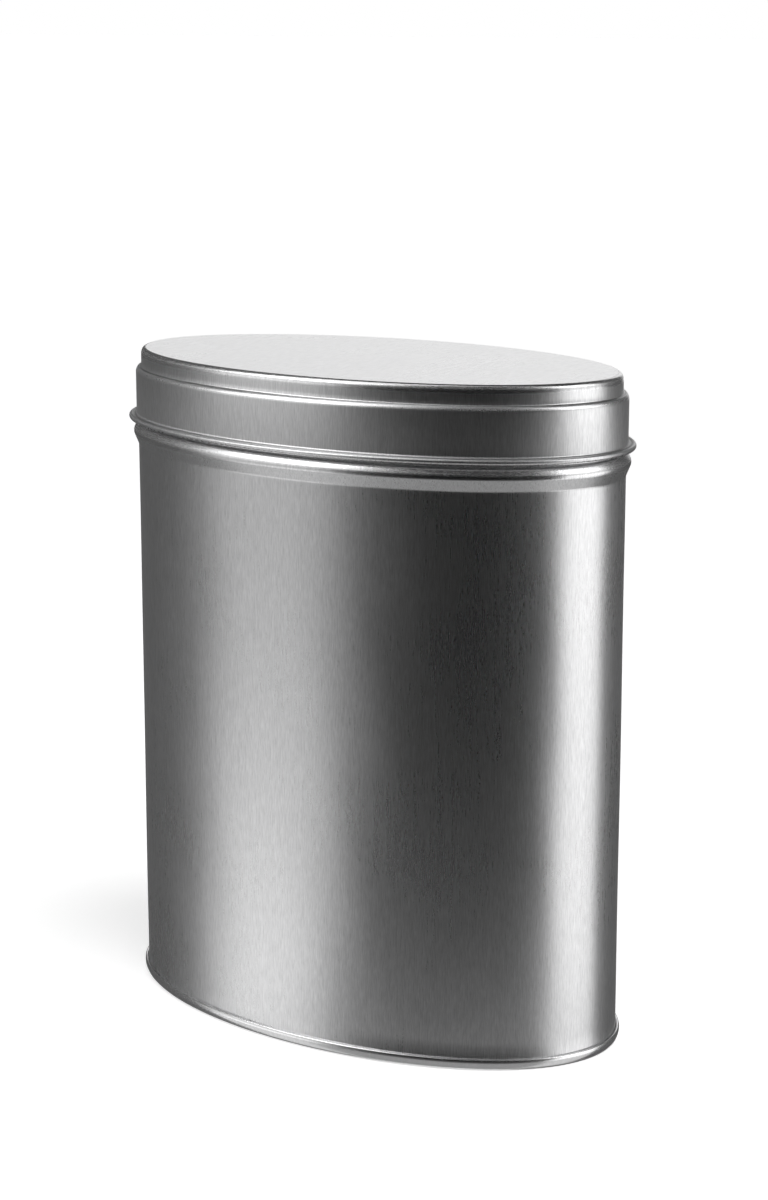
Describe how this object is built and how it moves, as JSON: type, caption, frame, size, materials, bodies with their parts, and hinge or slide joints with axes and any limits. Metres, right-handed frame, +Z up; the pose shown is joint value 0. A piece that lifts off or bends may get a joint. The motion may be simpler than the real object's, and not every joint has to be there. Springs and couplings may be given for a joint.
{
  "type": "tea tin",
  "caption": "Tall oval tinplate tea tin with a slip-over stepped lid, a rolled bead under the lid's curl and a double-seamed base.",
  "frame": {"origin": "middle of the base, on the surface that the tin stands on", "axes": "+Z up through the lid; X along the oval's long axis; +Y to the back, where the side seam is"},
  "size_m": [0.1358, 0.0796, 0.1585],
  "materials": {
    "wall_tinplate": "satin tinplate with a fine upright grain",
    "base_tinplate": "satin tinplate",
    "lid_tinplate": "satin tinplate with a very fine grain"
  },
  "bodies": {
    "tin": {"body_wall": "wall_tinplate", "base_end": "base_tinplate"},
    "lid": {"lid": "lid_tinplate"}
  },
  "joints": [
    {"name": "lid_lift", "type": "slide", "parent": "tin", "child": "lid", "axis": [0, 0, 1], "range_m": [0, 0.12]}
  ]
}
